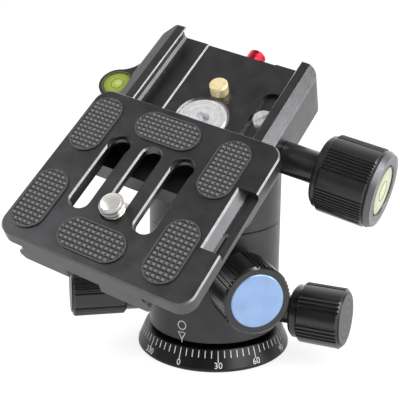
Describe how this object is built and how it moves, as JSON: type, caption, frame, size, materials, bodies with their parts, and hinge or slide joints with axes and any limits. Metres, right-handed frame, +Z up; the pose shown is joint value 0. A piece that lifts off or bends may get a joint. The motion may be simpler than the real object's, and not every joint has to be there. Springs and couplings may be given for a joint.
{
  "type": "tripod ball head",
  "caption": "Ball head with panning base and scale, lock, friction and pan knobs, and a dovetail clamp with levels and a slotted camera plate.",
  "frame": {"origin": "centre of the flat underside of the base", "axes": "+Z up along the pan axis, -Y towards the zero mark on the dial, +X towards the pan lock knob"},
  "size_m": [0.0961, 0.0937, 0.0955],
  "materials": {
    "bare_aluminium": "turned",
    "black_anodised": "satin black anodised",
    "black_knob": "satin black anodised, ribbed",
    "blue_anodised": "satin blue anodised",
    "brass": "turned",
    "grey_cap": "satin grey anodised",
    "level_green": "clear green",
    "liner_plastic": "plain",
    "red_button": "red anodised",
    "rubber": "textured",
    "steel": "bright"
  },
  "bodies": {
    "base": {"base_disc": "bare_aluminium", "dial_ring": "black_anodised", "thread_bush": "steel", "pan_washer": "liner_plastic", "pan_retainer": "steel", "retainer_screws": "steel"},
    "housing": {"housing_body": "black_anodised", "top_collar": "black_anodised", "seat_liner": "liner_plastic", "ball_cup": "liner_plastic", "cup_spring": "steel", "lift_cone": "bare_aluminium", "main_bush": "brass", "friction_bush": "brass", "pan_bush": "brass"},
    "main_tip": {"main_lock_tip": "steel"},
    "main_knob": {"main_knob_grip": "black_knob", "main_knob_cap": "blue_anodised", "main_knob_screw": "black_knob"},
    "friction_tip": {"friction_tip": "steel"},
    "friction_knob": {"friction_knob_grip": "black_knob", "friction_knob_cap": "grey_cap", "friction_knob_screw": "black_knob"},
    "pan_shoe": {"pan_lock_shoe": "brass"},
    "pan_knob": {"pan_knob_grip": "black_knob", "pan_knob_cap": "grey_cap", "pan_knob_screw": "black_knob"},
    "ball": {"ball": "black_anodised"},
    "stem": {"stem": "black_anodised"},
    "clamp": {"clamp_bed": "black_anodised", "centre_screw": "steel", "lug_level": "level_green", "jaw_guide_rods": "steel", "clamp_spindle": "steel", "pin_spring": "steel", "button_spring": "steel"},
    "safety_pin": {"safety_pin": "steel"},
    "release_button": {"release_button": "red_button"},
    "jaw": {"movable_jaw": "black_anodised", "jaw_screws": "steel"},
    "clamp_knob": {"clamp_knob_neck": "black_knob", "clamp_knob_grip": "black_knob", "clamp_knob_bezel": "grey_cap", "knob_level": "level_green"},
    "plate": {"qr_plate": "black_anodised", "pad_left_rear": "rubber", "pad_left_front": "rubber", "pad_right_rear": "rubber", "pad_right_front": "rubber", "pad_middle_rear": "rubber", "pad_middle_front": "rubber", "stop_screws": "steel"},
    "screw_carriage": {"screw_washer": "liner_plastic"},
    "camera_screw": {"camera_screw": "steel"}
  },
  "joints": [
    {"name": "pan", "type": "hinge", "parent": "base", "child": "housing", "pos_m": [0, 0, 0.01], "axis": [0, 0, 1], "continuous": true},
    {"name": "main_lock_slide", "type": "slide", "parent": "housing", "child": "main_tip", "axis": [0.7071, -0.7071, 0], "range_m": [0, 0.0015]},
    {"name": "main_knob_turn", "type": "hinge", "parent": "main_tip", "child": "main_knob", "pos_m": [0.02121, -0.02121, 0.0265], "axis": [0.7071, -0.7071, 0], "range_deg": [0, 540]},
    {"name": "friction_lock_slide", "type": "slide", "parent": "housing", "child": "friction_tip", "axis": [-0.788, -0.6157, 0], "range_m": [0, 0.0015]},
    {"name": "friction_knob_turn", "type": "hinge", "parent": "friction_tip", "child": "friction_knob", "pos_m": [-0.02364, -0.01847, 0.0206], "axis": [-0.788, -0.6157, 0], "range_deg": [0, 540]},
    {"name": "pan_lock_slide", "type": "slide", "parent": "housing", "child": "pan_shoe", "axis": [0.9986, 0.0523, 0], "range_m": [0, 0.0015]},
    {"name": "pan_knob_turn", "type": "hinge", "parent": "pan_shoe", "child": "pan_knob", "pos_m": [0.02996, 0.00157, 0.0142], "axis": [0.9986, 0.0523, 0], "range_deg": [0, 540]},
    {"name": "ball_azimuth", "type": "hinge", "parent": "housing", "child": "ball", "pos_m": [0, 0, 0.04887], "axis": [0, 0, 1], "continuous": true},
    {"name": "ball_tilt", "type": "hinge", "parent": "ball", "child": "stem", "pos_m": [0, 0, 0.04887], "axis": [0.9714, 0.2373, 0], "range_deg": [-38, 3.5]},
    {"name": "clamp_swivel", "type": "hinge", "parent": "stem", "child": "clamp", "pos_m": [0, 0, 0.04887], "axis": [0.147, -0.6015, 0.7852], "continuous": true},
    {"name": "jaw_slide", "type": "slide", "parent": "clamp", "child": "jaw", "axis": [0.9808, -0.0144, -0.1946], "range_m": [0, 0.004]},
    {"name": "clamp_knob_turn", "type": "hinge", "parent": "jaw", "child": "clamp_knob", "pos_m": [0.04301, -0.01604, 0.06127], "axis": [0.9808, -0.0144, -0.1946], "range_deg": [0, 1440]},
    {"name": "button_press", "type": "slide", "parent": "clamp", "child": "release_button", "axis": [-0.1284, -0.7987, -0.5878], "range_m": [0, 0.0018], "stiffness_N_per_m": 400, "springref_m": -0.0009},
    {"name": "pin_drop", "type": "slide", "parent": "clamp", "child": "safety_pin", "axis": [-0.147, 0.6015, -0.7852], "range_m": [0, 0.0029]},
    {"name": "plate_slide", "type": "slide", "parent": "clamp", "child": "plate", "axis": [0.1284, 0.7987, 0.5878], "range_m": [-0.008, 0.0175]},
    {"name": "screw_slide", "type": "slide", "parent": "plate", "child": "screw_carriage", "axis": [0.1284, 0.7987, 0.5878], "range_m": [-0.0006, 0.018]},
    {"name": "screw_turn", "type": "hinge", "parent": "screw_carriage", "child": "camera_screw", "pos_m": [0.00002, -0.05459, 0.05303], "axis": [0.147, -0.6015, 0.7852], "continuous": true}
  ],
  "couplings": [
    {"joint": "main_knob_turn", "follows": "main_lock_slide", "rad_per_m": 6283.2},
    {"joint": "friction_knob_turn", "follows": "friction_lock_slide", "rad_per_m": 6283.2},
    {"joint": "pan_knob_turn", "follows": "pan_lock_slide", "rad_per_m": 6283.2},
    {"joint": "clamp_knob_turn", "follows": "jaw_slide", "rad_per_m": 6283.2},
    {"joint": "pin_drop", "follows": "button_press", "ratio": 1.6111}
  ]
}
